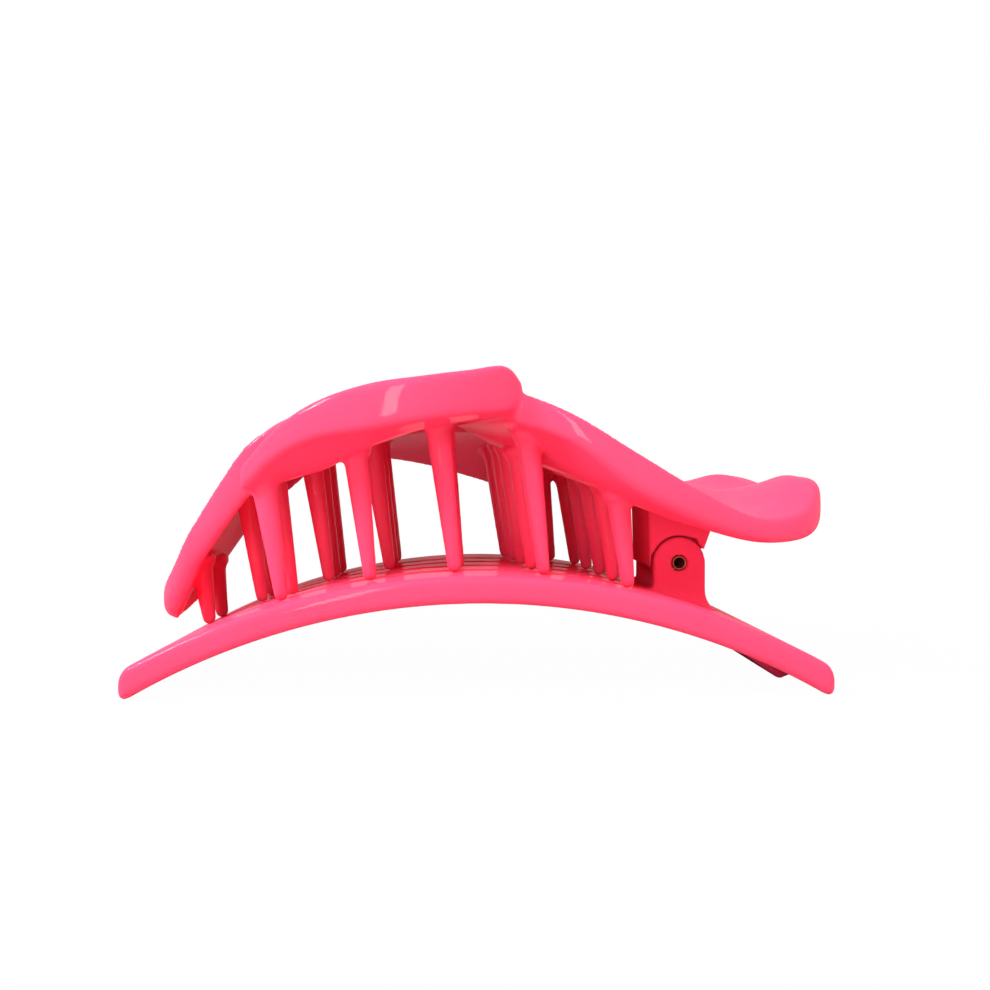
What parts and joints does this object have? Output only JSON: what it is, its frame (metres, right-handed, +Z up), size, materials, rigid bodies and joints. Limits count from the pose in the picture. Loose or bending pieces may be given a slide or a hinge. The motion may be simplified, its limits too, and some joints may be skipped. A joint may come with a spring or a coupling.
{
  "type": "flat hair clip",
  "caption": "Flat-lying sprung hair clip: an arched slotted lower jaw and a blossom-shaped upper jaw with tapered teeth, opened by a finger lever.",
  "frame": {"origin": "centre of the bounding box in plan, at the feet of the lower jaw", "axes": "+X along the clip towards the finger lever, +Y across, +Z up from the surface that the closed clip stands on"},
  "size_m": [0.1092, 0.056, 0.0499],
  "materials": {
    "pink_plastic": "high gloss",
    "brass": "polished",
    "spring_steel": "bright drawn wire"
  },
  "bodies": {
    "lower": {"lower_jaw": "pink_plastic", "hinge_pin": "brass", "torsion_spring": "spring_steel"},
    "upper": {"upper_jaw": "pink_plastic"}
  },
  "joints": [
    {"name": "jaw_hinge", "type": "hinge", "parent": "lower", "child": "upper", "pos_m": [0.03285, 0.00002, 0.01895], "axis": [0, 1, 0], "range_deg": [0, 40], "stiffness_Nm_per_rad": 0.14, "springref_deg": -34.38, "deforming": ["torsion_spring"]}
  ]
}
